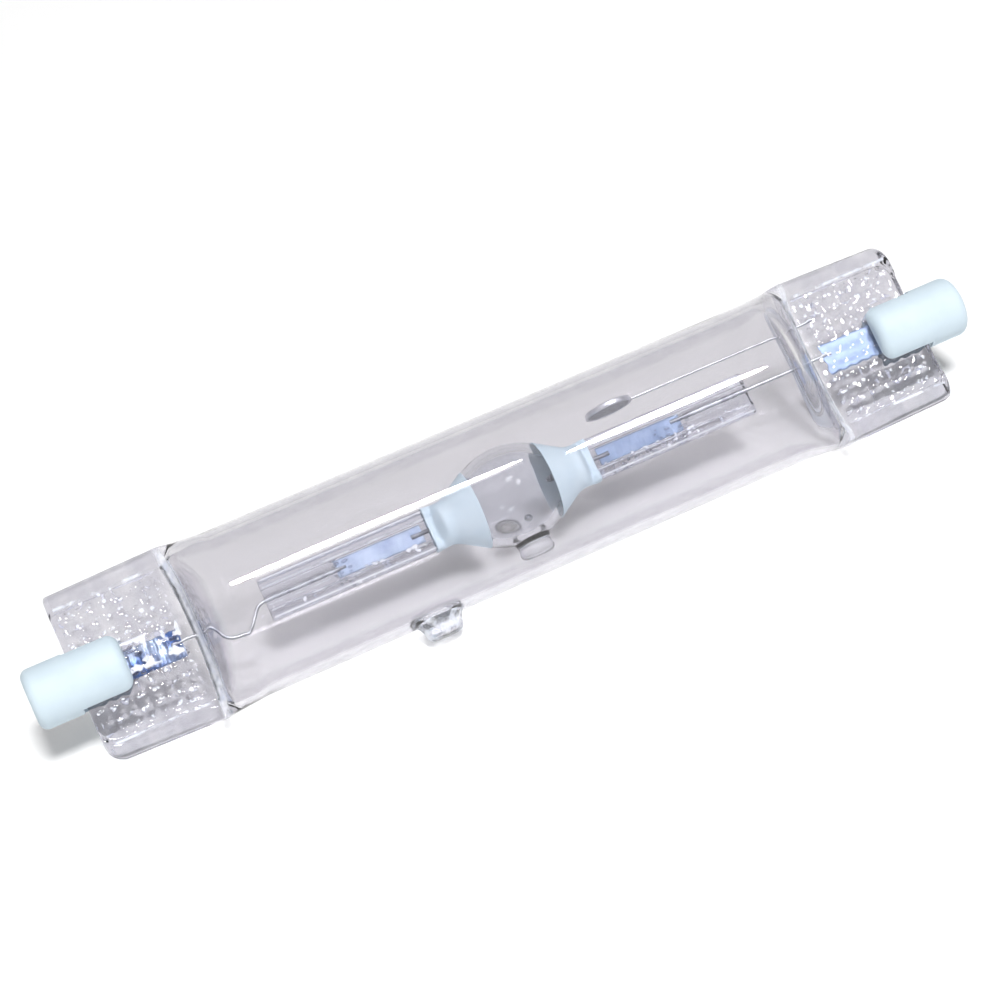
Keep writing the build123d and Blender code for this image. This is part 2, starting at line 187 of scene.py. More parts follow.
# Molybdenum foils: strips etched to a feather edge and tinted blue by heat, sealed in
# the stems and the pinches. The glass holds them with small crinkles along their length.
mm = 0.001
dish_low, dish_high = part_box("getter_dish")
dish_centre = (dish_low + dish_high) / 2
lamp_way = Vector((1, 0, 0))
rise = Vector((0, dish_centre.y, dish_centre.z)).normalized()
face = Vector((0, -rise.z, rise.y))
foil_core = 0.28
foil_feather = 0.18
foil_least_half = 0.004
foil_step = 0.12
foil_columns = 14
foil_ripples = ((1.0, 0.9, 0.6), (0.43, -1.7, 0.3), (2.9, 2.2, 0.5))
foil_light = (0.36, 0.45, 0.64, 1.0)
foil_clear = (0.29, 0.39, 0.60, 1.0)
foil_pale = (0.56, 0.65, 0.80, 1.0)
foil_soft = (0.36, 0.45, 0.62, 1.0)
foil_even = (0.24, 0.32, 0.48, 1.0)
foil_dark = (0.05, 0.12, 0.34, 1.0)


def at(x, up, out):
    """Point given in millimetres along the lamp, up in the pinch's plane and out of its face."""
    return (lamp_way * x + rise * up + face * out) * mm


def in_lamp(node_name):
    """Low and high corner of a frame node, measured the same three ways in millimetres."""
    points = [v.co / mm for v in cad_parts[node_name].data.vertices]
    ways = [[p.x for p in points], [p.dot(rise) for p in points], [p.dot(face) for p in points]]
    return [min(way) for way in ways], [max(way) for way in ways]


def finish_piece(name, mesh, material, node_name):
    """A finished piece that stands for a node of the frame."""
    mesh.polygons.foreach_set("use_smooth", [True] * len(mesh.polygons))
    mesh.materials.clear()
    mesh.materials.append(material)
    piece = bpy.data.objects.new(name, mesh)
    bpy.context.scene.collection.objects.link(piece)
    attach(piece, "root")
    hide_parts(node_name)


def mesh_piece(name, corners, faces, material, node_name):
    """A finished piece from its corners and faces."""
    mesh = bpy.data.meshes.new(name)
    mesh.from_pydata(corners, [], faces)
    finish_piece(name, mesh, material, node_name)


def foil_strip(name, crinkle, wave, seed, material):
    """Thin strip whose middle crinkles across its length and whose edges feather out."""
    low, high = in_lamp(name)
    length, width = high[0] - low[0], high[1] - low[1]
    middle = (low[1] + high[1]) / 2
    core_half = (high[2] - low[2]) * foil_core
    rows = int(length / foil_step)
    chance = random.Random(seed)
    phases = [chance.uniform(0, 2 * pi) for _ in foil_ripples]
    corners, faces = [], []
    for skin in (1, -1):
        for i in range(rows + 1):
            x = low[0] + length * i / rows
            for j in range(foil_columns + 1):
                u = 2 * j / foil_columns - 1
                ripple = 0.0
                for phase, (stretch, lean, share) in zip(phases, foil_ripples):
                    ripple += share * sin(x * 2 * pi / (wave * stretch) + phase + lean * u)
                edge = min(1.0, (1 - abs(u)) * width / 2 / foil_feather)
                half = max(foil_least_half, core_half * edge)
                corners.append(at(x, middle + u * width / 2, ripple * crinkle + skin * half))
    row = foil_columns + 1
    sheet = row * (rows + 1)
    for i in range(rows):
        for j in range(foil_columns):
            a = i * row + j
            faces.append((a, a + row, a + row + 1, a + 1))
            faces.append((a + sheet, a + 1 + sheet, a + row + 1 + sheet, a + row + sheet))
    sides = [(i * row, (i + 1) * row, 1) for i in range(rows)]
    sides += [(a + foil_columns, b + foil_columns, -1) for a, b, turn in sides]
    ends = [(j, j + 1, -1) for j in range(foil_columns)]
    ends += [(a + rows * row, b + rows * row, 1) for a, b, turn in ends]
    for a, b, turn in sides + ends:
        faces.append((a, a + sheet, b + sheet, b)[::turn])
    mesh_piece(name + "_strip", corners, faces, material, name)


for node_name, looks, tone, patch_tone, roughness, crinkle, wave, seed in (
    ("arc_foil_left", "Pale blue foil", foil_pale, foil_soft, 0.45, 0.02, 1.9, 3),
    ("arc_foil_right", "Even blue foil", foil_soft, foil_even, 0.5, 0.03, 1.4, 5),
    ("jacket_foil_left", "Dark blue foil", foil_dark, foil_pale, 0.3, 0.1, 1.7, 7),
    ("jacket_foil_right", "Light blue foil", foil_light, foil_clear, 0.5, 0.01, 2.6, 11),
):
    foil = mottled(
        looks, tone, patch_tone,
        patches=260.0, grains=2500.0, relief=0.00004, roughness=roughness, metallic=0.5,
    )
    foil_strip(node_name, crinkle, wave, seed, foil)

# Arc tube: thick clear silica, blown to a barrel round the arc and pressed flat into a
# beaded stem at each end. Its filling tube is melted off to a blunt tip below the barrel.
arc_wall = 1.3
barrel_radius = 6.8
barrel_bulge = 1.46
barrel_half = 5.2
barrel_arc = (barrel_half**2 + barrel_bulge**2) / (2 * barrel_bulge)
neck_radius = 2.9
cone_end = 9.2
hollow_half = 7.9
hollow_round = 1.3
flat_zone = (9.9, 11.9)
stem_end = in_lamp("arc_tube")[1][0]
stem_end_round = 0.28
stem_half_width = 2.95
stem_web_half = 0.88
stem_bead = (1.5, 1.24, 0.65)
rib_zone = (25.2, 26.0)
rib_shift = 0.5
rib_height = 1.08
rib_radius = 0.95
dent_start = 12.5
dent_band = (-2.8, -1.5)
dent_height = 0.09
dent_turns = 5.6
neck_blend = 0.5
web_blend = 0.25
wall_growth = 0.17
wall_growth_zone = (3.0, 6.0)
arc_ring_points = 144
arc_hollow_points = 96
arc_tip_x = 0.2
silica_refraction = 1.46
arc_glass_tint = (0.90, 0.91, 0.94, 1.0)
arc_stem_tint = (0.84, 0.85, 0.91, 1.0)


def smooth_step(value, start, end):
    """0 before start, 1 after end and a soft S between them."""
    share = min(1.0, max(0.0, (value - start) / (end - start)))
    return share * share * (3 - 2 * share)


def soft_max(a, b, blend_size):
    """The larger of two heights, with a round hollow of that size where they cross."""
    share = max(0.0, blend_size - abs(a - b)) / blend_size
    return max(a, b) + share * share * blend_size / 4


def bead_height(distance_in, bead):
    """Half height of a rounded edge bead at that distance in from the glass's edge."""
    width, half_height, corner = bead
    across = min(distance_in, width - distance_in)
    if across <= 0:
        return half_height - corner if distance_in <= 0 else 0.0
    if across >= corner:
        return half_height
    return half_height - corner + sqrt(corner**2 - (corner - across) ** 2)


def barrel_outline(x):
    """Radius of the barrel and its necks."""
    x = abs(x)
    if x < barrel_half:
        return barrel_radius - barrel_arc + sqrt(barrel_arc**2 - x * x)
    edge = barrel_radius - barrel_bulge
    cone = edge - (edge - neck_radius) * (x - barrel_half) / (cone_end - barrel_half)
    return soft_max(cone, neck_radius, neck_blend)


def stem_height(x, up, half_width):
    """Half height of the pressed stem: edge beads, web, end rib and a dented lower bead."""
    height = bead_height(half_width - abs(up), stem_bead)
    if half_width - abs(up) > stem_bead[0] / 2:
        height = soft_max(height, stem_web_half, web_blend)
    off_rib = (up - (0.0 if x < 0 else rib_shift)) / rib_radius
    rib = smooth_step(abs(x), *rib_zone)
    if rib > 0 and abs(off_rib) < 1:
        height = max(height, rib_height * sqrt(1 - off_rib**2) * rib + height * (1 - rib))
    if x > dent_start and dent_band[0] < up < dent_band[1]:
        share_up = (up - dent_band[0]) / (dent_band[1] - dent_band[0])
        dents = sin(x * dent_turns) * sin(pi * share_up)
        height += dent_height * dents * smooth_step(x, dent_start, dent_start + 1.5)
    return height


def arc_tube_ring(x, grow=0.0, shrink=0.0):
    """One closed ring round the arc tube at x."""
    flat = smooth_step(abs(x), *flat_zone)
    half_width = barrel_outline(x) * (1 - flat) + stem_half_width * flat + grow - shrink
    ring = []
    for k in range(arc_ring_points):
        turn = 2 * pi * k / arc_ring_points
        up = half_width * cos(turn)
        height = half_width * abs(sin(turn)) * (1 - flat)
        if flat > 0:
            height = max(height, (stem_height(x, up, half_width) + grow - shrink) * flat)
        ring.append(at(x, up, height if sin(turn) >= 0 else -height))
    return ring


def both_ways(places):
    """The places from the far left end to the far right one, given from the middle out."""
    return [-x for x in reversed(places[1:])] + places


def add_round_ends(rings, ring_at, end, size, turns):
    """Run a skin's two ends in over a rounded edge."""
    for turn in turns:
        back = size * (1 - cos(radians(turn)))
        x = end - size + size * sin(radians(turn))
        rings.append(ring_at(x, shrink=back))
        rings.insert(0, ring_at(-x, shrink=back))


def ring_skin(rings, closed_ends=True):
    """Corners and faces of a skin through closed rings of equal count."""
    count = len(rings[0])
    corners = [p for ring in rings for p in ring]
    faces = []
    for i in range(len(rings) - 1):
        for k in range(count):
            a, b = i * count + k, i * count + (k + 1) % count
            faces.append((a, b, b + count, a + count))
    if closed_ends:
        last = (len(rings) - 1) * count
        for k in range(count // 2):
            a, b = k, k + 1
            c, d = (count - k - 1) % count, (count - k) % count
            low = [a, d, c, b] if a != d else [a, c, b]
            low = low if c != b else [a, d, b]
            faces.append(tuple(low))
            faces.append(tuple(last + v for v in reversed(low)))
    return corners, faces


def loose_object(name, corners, faces):
    """An object for further work, with its faces turned outward."""
    mesh = bpy.data.meshes.new(name)
    work = bmesh.new()
    points = [work.verts.new(p) for p in corners]
    for corner_numbers in faces:
        work.faces.new([points[c] for c in corner_numbers])
    bmesh.ops.recalc_face_normals(work, faces=work.faces[:])
    work.to_mesh(mesh)
    work.free()
    thing = bpy.data.objects.new(name, mesh)
    bpy.context.scene.collection.objects.link(thing)
    return thing


def mesh_of(thing):
    """The mesh of a loose object, which goes."""
    mesh = thing.data
    bpy.data.objects.remove(thing)
    return mesh


def corner_arc(centre, reach, first, last, step):
    """Points of a round corner: centre and reach are (outward, upward), the turns in degrees."""
    turns = [radians(a) for a in range(first, last + 1, step)]
    return [(centre[0] + reach[0] * cos(a), centre[1] + reach[1] * sin(a)) for a in turns]


def lathe(name, outline, centre, axis, side_way, steps):
    """Solid of revolution: the outline's points are (radius, height up the axis)."""
    third = axis.cross(side_way)
    corners, faces, rows = [], [], []
    for radius, height in outline:
        start = len(corners)
        if radius == 0:
            corners.append(centre + axis * height * mm)
            rows.append([start] * steps)
            continue
        for k in range(steps):
            turn = 2 * pi * k / steps
            spoke = side_way * cos(turn) + third * sin(turn)
            corners.append(centre + (axis * height + spoke * radius) * mm)
        rows.append(list(range(start, start + steps)))
    for low, high in zip(rows, rows[1:]):
        for k in range(steps):
            m = (k + 1) % steps
            faces.append(tuple(dict.fromkeys([low[k], low[m], high[m], high[k]])))
    return loose_object(name, corners, faces)


def joined_mesh(base, tool, operation):
    """Mesh of one solid joined to, or cut by, another."""
    cut = base.modifiers.new("join", "BOOLEAN")
    cut.operation = operation
    cut.object = tool
    cut.solver = "EXACT"
    depsgraph = bpy.context.evaluated_depsgraph_get()
    mesh = bpy.data.meshes.new_from_object(base.evaluated_get(depsgraph))
    bpy.data.objects.remove(base)
    bpy.data.objects.remove(tool)
    return mesh


def glass_piece(name, outer_mesh, hollows, material, node_name):
    """One glass piece from its outer skin and the skins of what is hollow in it."""
    work = bmesh.new()
    work.from_mesh(outer_mesh)
    for hollow in hollows:
        hollow.data.flip_normals()
        work.from_mesh(mesh_of(hollow))
    mesh = bpy.data.meshes.new(name)
    work.to_mesh(mesh)
    work.free()
    finish_piece(name, mesh, material, node_name)


def bubble_cluster(name, seed, count, along, ups, depth, sizes):
    """Small flattened gas bubbles caught in the pressed glass, as one skin."""
    chance = random.Random(seed)
    corners, faces = [], []
    around, rows = 10, 6
    for _ in range(count):
        x = chance.uniform(*along)
        up = chance.uniform(*ups)
        out = chance.choice((-1, 1)) * chance.uniform(*depth)
        size = chance.uniform(*sizes)
        long = size * chance.uniform(1.0, 2.4)
        first = len(corners)
        for row in range(1, rows):
            polar = pi * row / rows
            for k in range(around):
                turn = 2 * pi * k / around
                girth = size * sin(polar)
                flattened = 0.6 * girth * sin(turn)
                corners.append(at(x + long * cos(polar), up + girth * cos(turn), out + flattened))
        for row in range(rows - 2):
            for k in range(around):
                a, b = first + row * around + k, first + row * around + (k + 1) % around
                faces.append((a, b, b + around, a + around))
        faces.append(tuple(first + k for k in reversed(range(around))))
        faces.append(tuple(first + (rows - 2) * around + k for k in range(around)))
    return loose_object(name, corners, faces)


def reckon(tree, operation, first, *others):
    """Sockets or plain numbers, worked together in turn."""
    result = first
    for other in others or (0.0,):
        node = tree.nodes.new("ShaderNodeMath")
        node.operation = operation
        feed(tree, result, node.inputs[0])
        feed(tree, other, node.inputs[1])
        result = node.outputs[0]
    return result


def see_through(material, cover):
    """Let the material show only as far as the cover says."""
    tree = material.node_tree
    tree.links.new(cover, tree.nodes["Principled BSDF"].inputs["Alpha"])


def let_light_through(material, share_held):
    """Let shadow and diffuse rays pass, all but the share that the piece holds back."""
    tree = material.node_tree
    ray = tree.nodes.new("ShaderNodeLightPath").outputs
    unseen = reckon(tree, "MAXIMUM", ray["Is Shadow Ray"], ray["Is Diffuse Ray"])
    see_through(material, ramp(tree, unseen, 0.0, 1.0, 1.0, share_held))


def clear_silica(name, tint, solid_tint, solid_from, waves, wave_height, clouds, held_shares, edge_share):
    """Fused silica whose surface waves a little, deeper in tone where it is solid or seen edge on."""
    material, tree, shader = new_material(name)
    shader.inputs["Roughness"].default_value = 0.0
    shader.inputs["IOR"].default_value = silica_refraction
    shader.inputs["Transmission Weight"].default_value = 1.0
    place = object_place(tree)
    split = tree.nodes.new("ShaderNodeSeparateXYZ")
    tree.links.new(place, split.inputs["Vector"])
    reach = reckon(tree, "ABSOLUTE", split.outputs["X"])
    solid = ramp(tree, reach, solid_from * mm, (solid_from + 1.5) * mm)
    grazing = tree.nodes.new("ShaderNodeLayerWeight")
    grazing.inputs["Blend"].default_value = 0.5
    deep = ramp(tree, grazing.outputs["Facing"], 0.46, 0.57, 0.0, edge_share)
    cloud = ramp(tree, noise(tree, place, clouds, 2.0), 0.35, 0.65, 0.55, 1.25)
    cloudy = reckon(tree, "MULTIPLY", reckon(tree, "MAXIMUM", deep, solid), cloud)
    cloudy.node.use_clamp = True
    tree.links.new(blend(tree, cloudy, tint, solid_tint), shader.inputs["Base Color"])
    raise_surface(tree, shader, noise(tree, place, waves, 1.0), 1.0, wave_height)
    let_light_through(material, ramp(tree, solid, 0.0, 1.0, *held_shares))
    return material


arc_stations = [0.25 * k for k in range(57)] + [14.25 + 0.5 * k for k in range(43)]
arc_stations = [x for x in arc_stations if x < stem_end - 0.3]
arc_rings = [arc_tube_ring(x) for x in both_ways(arc_stations)]
add_round_ends(arc_rings, arc_tube_ring, stem_end, stem_end_round, (0, 30, 60, 90))
arc_skin = loose_object("arc_skin", *ring_skin(arc_rings))
arc_tip_outline = [(0, 5.9), (2.6, 5.9), (2.5, 6.7), (2.36, 7.1), (2.3, 7.4), (2.36, 7.7), (2.46, 8.0)]
arc_tip_outline += corner_arc((1.5, 8.04), (0.96, 0.94), 10, 90, 20) + [(0, 8.98)]
arc_tip = lathe("arc_tip", arc_tip_outline, at(arc_tip_x, 0, 0), -rise, lamp_way, 64)
arc_outer = joined_mesh(arc_skin, arc_tip, "UNION")

hollow_rings = []
for k in range(-40, 41):
    x = hollow_half * sin(radians(90 * k / 40))
    radius = barrel_outline(x) - arc_wall * (1 + wall_growth * smooth_step(abs(x), *wall_growth_zone))
    close_in = max(0.0, (abs(x) - hollow_half + hollow_round) / hollow_round)
    radius *= sqrt(max(0.0004, 1 - close_in**2))
    turns = [2 * pi * m / arc_hollow_points for m in range(arc_hollow_points)]
    hollow_rings.append([at(x, radius * cos(turn), radius * sin(turn)) for turn in turns])
arc_hollows = [
    loose_object("arc_hollow", *ring_skin(hollow_rings)),
    bubble_cluster(
        "weld_bubbles_left", seed=21, count=34,
        along=(-26.0, -23.6), ups=(-2.2, 1.6), depth=(0.2, 0.62), sizes=(0.09, 0.24),
    ),
    bubble_cluster(
        "weld_bubbles_right", seed=23, count=30,
        along=(21.2, 26.4), ups=(-1.9, 0.6), depth=(0.2, 0.62), sizes=(0.08, 0.22),
    ),
    bubble_cluster(
        "seam_bubbles", seed=25, count=34,
        along=(13.5, 27.5), ups=(-2.5, -1.6), depth=(0.1, 0.7), sizes=(0.08, 0.2),
    ),
]
arc_silica = clear_silica(
    "Arc tube silica", arc_glass_tint, arc_stem_tint, solid_from=10.0, waves=260.0,
    wave_height=0.00005, clouds=500.0, held_shares=(0.06, 0.8), edge_share=0.0,
)
glass_piece("arc_tube_glass", arc_outer, arc_hollows, arc_silica, "arc_tube")

# Left arc lead: the same wire, bent by hand into a soft wave between stem and pinch, so that
# it can give way when the arc tube grows hot. It is a round wire along one smooth line.
lead_radius = 0.24
lead_steps = 8
lead_sides = 16
lead_low, lead_high = in_lamp("arc_lead_left")
lead_places = [(lead_high[0], 0.0), (-32.0, 0.0), (-35.4, 0.0), (-36.9, -0.3), (-38.0, -1.5)]
lead_places += [(-39.1, -2.7), (-40.3, -2.95), (-41.5, -2.2), (-42.4, -0.9), (-43.3, -0.3)]
lead_places += [(-44.3, -0.6), (-45.3, -0.65), (-46.5, -0.5), (lead_low[0], -0.52)]


def smooth_between(p, q, r, s, t):
    """A value between q and r that leaves p and nears s without a kink."""
    return 0.5 * (2 * q + (r - p) * t + (2 * p - 5 * q + 4 * r - s) * t**2 + (3 * q - p - 3 * r + s) * t**3)


padded = [lead_places[0]] + lead_places + [lead_places[-1]]
lead_path = []
for four in zip(padded, padded[1:], padded[2:], padded[3:]):
    for step in range(lead_steps):
        lead_path.append(tuple(smooth_between(*values, step / lead_steps) for values in zip(*four)))
lead_path.append(lead_places[-1])
lead_rings = []
for k, (x, up) in enumerate(lead_path):
    before, after = lead_path[max(0, k - 1)], lead_path[min(len(lead_path) - 1, k + 1)]
    run = Vector((after[0] - before[0], after[1] - before[1])).normalized()
    ring = []
    for m in range(lead_sides):
        turn = 2 * pi * m / lead_sides
        aside = lead_radius * cos(turn)
        ring.append(at(x - run.y * aside, up + run.x * aside, lead_radius * sin(turn)))
    lead_rings.append(ring)
corners, faces = ring_skin(lead_rings)
mesh_piece("arc_lead_wave", corners, faces, wire_metal, "arc_lead_left")

# Reflector coats: white heat-reflecting oxide, painted on the outside of the barrel's
# ends and baked. Matte and slightly grainy, with an even edge towards the arc.
coat_white = (0.68, 0.80, 0.90, 1.0)
coat_thin = (0.63, 0.76, 0.87, 1.0)
coat_over = 0.13
coat_under = 0.012
coat_steps = 36

coat = mottled(
    "Reflector coat", coat_white, coat_thin, patches=380.0, grains=7000.0, relief=0.00002, roughness=0.75,
)
let_light_through(coat, 0.8)
for hand, side in (("left", -1), ("right", 1)):
    low, high = in_lamp(f"reflector_coat_{hand}")
    start, end = sorted((abs(low[0]), abs(high[0])))
    places = [start + (end - start) * i / coat_steps for i in range(coat_steps + 1)]
    rings = [arc_tube_ring(side * x, grow=coat_over) for x in places]
    rings += [arc_tube_ring(side * x, grow=coat_under) for x in reversed(places)]
    corners, faces = ring_skin(rings, closed_ends=False)
    last = (len(rings) - 1) * arc_ring_points
    for k in range(arc_ring_points):
        m = (k + 1) % arc_ring_points
        faces.append((last + k, last + m, m, k))
    if side > 0:
        faces = [f[::-1] for f in faces]
    mesh_piece(f"coat_{hand}", corners, faces, coat, f"reflector_coat_{hand}")

# Fill: metal salts condensed as a thin grey skin on the lowest part of the barrel's
# inside, with one bead of mercury beside it. Both came in through the filling tube.
salt_grey = (0.34, 0.33, 0.33, 1.0)
salt_pale = (0.52, 0.51, 0.50, 1.0)
salt_cover = 0.75
mercury_bright = (0.62, 0.63, 0.65, 1.0)
mercury_dull = (0.45, 0.46, 0.48, 1.0)
film_low, film_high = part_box("halide_film")
film_middle = (film_low + film_high) / 2
film_reach = (film_high.x - film_low.x) / 2

salt = mottled(
    "Condensed salt", salt_grey, salt_pale, patches=1500.0, grains=8000.0, relief=0.00003, roughness=0.55,
)
tree = salt.node_tree
off_middle = tree.nodes.new("ShaderNodeVectorMath")
off_middle.operation = "DISTANCE"
off_middle.inputs[1].default_value = film_middle
tree.links.new(object_place(tree), off_middle.inputs[0])
see_through(salt, ramp(tree, off_middle.outputs["Value"], film_reach * 0.25, film_reach, salt_cover, 0.0))
dress(salt, "halide_film")
mercury = mottled(
    "Mercury", mercury_bright, mercury_dull,
    patches=900.0, grains=2500.0, relief=0.000002, roughness=0.08, metallic=1.0,
)
dress(mercury, "mercury_bead")

# Getter: a shallow pressed steel dish with a rolled rim, filled with sintered powder
# and welded to a thin wire that the right pinch holds. It keeps the jacket's gas clean.
dish_steel = (0.86, 0.87, 0.92, 1.0)
dish_shade = (0.62, 0.63, 0.68, 1.0)
powder_dark = (0.40, 0.40, 0.43, 1.0)
powder_light = (0.58, 0.58, 0.62, 1.0)
dish_low, dish_high = in_lamp("getter_dish")
dish_radius = (dish_high[0] - dish_low[0]) / 2
dish_middle = (dish_high[0] + dish_low[0]) / 2
dish_depth = dish_high[1] - dish_low[1]
dish_rim = 0.16
dish_wall = 0.36
dish_floor = 0.25

getter_steel = mottled(
    "Getter steel", dish_steel, dish_shade,
    patches=500.0, grains=5000.0, relief=0.00001, roughness=0.28, metallic=1.0,
)
powder = mottled(
    "Getter powder", powder_dark, powder_light, patches=2500.0, grains=9000.0, relief=0.00006, roughness=0.9,
)
dress(powder, "getter_pellet")
dish_outline = [(0, 0), (dish_radius - 0.3, 0), (dish_radius - 0.1, 0.05), (dish_radius - 0.02, 0.18)]
dish_outline += corner_arc((dish_radius - dish_rim, dish_depth - dish_rim), (dish_rim, dish_rim), 0, 180, 30)
dish_outline += [(dish_radius - dish_wall, dish_depth - 0.3), (dish_radius - dish_wall, dish_floor)]
dish_outline += [(0, dish_floor)]
dish = lathe("dish_shell", dish_outline, at(dish_middle, dish_high[1], 0), -rise, lamp_way, 72)
finish_piece("getter_dish_shell", mesh_of(dish), getter_steel, "getter_dish")

# Outer jacket: a drawn silica tube, heated and pressed flat onto the foils at both ends.
# The jaws leave rows of dimples and thick beaded edges; the pump-out tube is melted off below.
tube_radius = 11.5
tube_wall = 1.25
tube_half = 40.0
shoulder = 6.2
shoulder_bow = 1.0
shoulder_foot = 2.4
press_zone = (42.6, 45.4)
pinch_start = tube_half + shoulder
pinch_end = in_lamp("outer_jacket")[1][0]
pinch_end_round = 0.5
pinch_web_half = 1.45
pinch_bead = (2.8, 1.9, 1.35)
pinch_blend = 0.35
pinch_rolling = 0.035
pinch_ring_gap = 0.22
half_width_inner = 12.1
half_width_outer = 11.7
corner_rounds = {-1: (0.5, 2.5), 1: (2.0, 1.2)}
dimple_first = 47.9
dimple_pitch = (1.73, 1.8)
dimple_depth = 0.3
dimple_flat = 0.1
dimple_edge = 0.66
dimple_rows = 10
hollow_start = 39.4
hollow_end = 45.6
hollow_corner = 1.6
hollow_end_half = 0.25
inner_radius = tube_radius - tube_wall
inner_half_width = half_width_inner - tube_wall
jacket_ring_points = 288
jacket_hollow_points = 144
jacket_tip_x = -15.5
tip_reach = 13.88
tip_radius = 2.68
tip_round = 1.12
jacket_glass_tint = (0.76, 0.75, 0.775, 1.0)
jacket_pinch_tint = (0.53, 0.52, 0.575, 1.0)


def shoulder_height(x, across):
    """Half height of the tube as it runs flat, later at its edges than in its middle."""
    bow = shoulder_bow * (1 - across**2) * smooth_step(abs(x), tube_half, pinch_start)
    share = min(1.5, max(0.0, (abs(x) + bow - tube_half) / shoulder))
    crown = pinch_web_half + (tube_radius - pinch_web_half) * (1 - share * share)
    return crown * sqrt(max(0.0, 1 - across**2))


def dimple(x, up):
    """Depth of the press dimples at that place of a pinch."""
    column = round((abs(x) - dimple_first) / dimple_pitch[0])
    row = round(up / dimple_pitch[1] - 0.5) + 0.5
    column_x = dimple_first + column * dimple_pitch[0]
    if column < 0 or abs(row) > dimple_rows / 2 or column_x > pinch_end - dimple_edge:
        return 0.0
    off_x = smooth_step(abs(abs(x) - column_x), dimple_flat, dimple_edge)
    off_up = smooth_step(abs(up - row * dimple_pitch[1]), dimple_flat, dimple_edge)
    return dimple_depth * (1 - off_x) * (1 - off_up)


def jacket_half_width(x, edge):
    """Half width of the jacket at x, towards the upper edge (1) or the lower one (-1)."""
    reach = abs(x)
    if reach <= tube_half:
        return tube_radius
    half = tube_radius + (half_width_inner - tube_radius) * min(1.0, (reach - tube_half) / shoulder)
    if reach > pinch_start:
        half += (half_width_outer - half_width_inner) * (reach - pinch_start) / (pinch_end - pinch_start)
    corner = corner_rounds[1 if x > 0 else -1][0 if edge > 0 else 1]
    past = reach - (pinch_end - corner)
    if past > 0:
        half -= corner - sqrt(max(0.0, corner**2 - past**2))
    return half


def jacket_ring(x, shrink=0.0):
    """One closed ring of the jacket's outer skin."""
    ring = []
    pressed = smooth_step(abs(x), *press_zone)
    for k in range(jacket_ring_points):
        turn = 2 * pi * k / jacket_ring_points
        half = jacket_half_width(x, 1 if cos(turn) >= 0 else -1) - shrink
        up = half * cos(turn)
        height = shoulder_height(x, cos(turn))
        if pressed > 0:
            inward = half - abs(up)
            press = bead_height(inward, pinch_bead)
            if inward > pinch_bead[0] / 2:
                rolling = pinch_rolling * sin(x * 2.1 + up * 1.3) * sin(up * 1.9 - x * 0.8)
                web = pinch_web_half - pinch_rolling + rolling - dimple(x, up)
                press = soft_max(press, web, pinch_blend)
            height = soft_max(height, press * pressed, shoulder_foot * pressed + 0.001)
        height = max(0.0, height - shrink)
        ring.append(at(x, up, height if sin(turn) >= 0 else -height))
    return ring


def hollow_ring(x, gap=0.0):
    """One closed ring of the jacket's hollow, or of a skin that keeps that gap inside it."""
    share = max(0.0, (abs(x) - hollow_start) / (hollow_end - hollow_start))
    past = max(0.0, abs(x) - hollow_end + hollow_corner)
    half = inner_radius + (inner_half_width - inner_radius) * share - gap
    half -= hollow_corner - sqrt(max(0.0, hollow_corner**2 - past**2))
    crown = hollow_end_half + (inner_radius - hollow_end_half) * max(0.0, 1 - share**2) - gap
    ring = []
    for k in range(jacket_hollow_points):
        turn = 2 * pi * k / jacket_hollow_points
        bow = shoulder_bow * (1 - cos(turn) ** 2) * share**2 * (1 if x > 0 else -1)
        ring.append(at(x - bow, half * cos(turn), crown * sin(turn)))
    return ring


stations = [0.0, 4, 8, 12, 16, 20, 24, 28, 32, 36, 38, 39, 39.6]
stations += [tube_half + shoulder * sin(radians(a)) * 0.97 for a in range(0, 90, 5)]
pinch_length = pinch_end - pinch_end_round - pinch_start
pinch_steps = int(pinch_length / pinch_ring_gap)
stations += [pinch_start + pinch_length * i / pinch_steps for i in range(pinch_steps + 1)]
outer_rings = [jacket_ring(x) for x in both_ways(stations)]
add_round_ends(outer_rings, jacket_ring, pinch_end, pinch_end_round, (30, 60, 90))
jacket_skin = loose_object("jacket_skin", *ring_skin(outer_rings))
tip_outline = [(0, 10.6), (3.7, 10.6), (3.45, 11.1), (3.1, 11.65), (2.9, 12.0), (2.75, 12.3)]
tip_outline += [(tip_radius, 12.6)]
tip_outline += corner_arc((tip_radius - tip_round, tip_reach - tip_round), (tip_round, tip_round), 0, 90, 15)
tip_outline += [(0, tip_reach)]
jacket_tip = lathe("jacket_tip", tip_outline, at(jacket_tip_x, 0, 0), -rise, lamp_way, 96)
jacket_outer = joined_mesh(jacket_skin, jacket_tip, "UNION")

hollow_stations = [0.0, 10, 20, 30, 36, hollow_start]
hollow_stations += [hollow_start + (hollow_end - hollow_start) * sin(radians(a)) for a in range(5, 91, 5)]
jacket_hollows = [
    loose_object("jacket_cavity", *ring_skin([hollow_ring(x) for x in both_ways(hollow_stations)])),
    bubble_cluster(
        "foil_bubbles", seed=31, count=60,
        along=(-59.0, -47.4), ups=(-2.9, 1.6), depth=(0.25, 0.5), sizes=(0.12, 0.34),
    ),
    bubble_cluster(
        "cap_bubbles", seed=33, count=16,
        along=(56.6, 60.0), ups=(-2.0, 2.4), depth=(0.25, 0.6), sizes=(0.1, 0.24),
    ),
]
jacket_silica = clear_silica(
    "Jacket silica", jacket_glass_tint, jacket_pinch_tint, solid_from=45.5, waves=55.0,
    wave_height=0.00004, clouds=420.0, held_shares=(0.08, 0.15), edge_share=1.0,
)
glass_piece("jacket_glass", jacket_outer, jacket_hollows, jacket_silica, "outer_jacket")

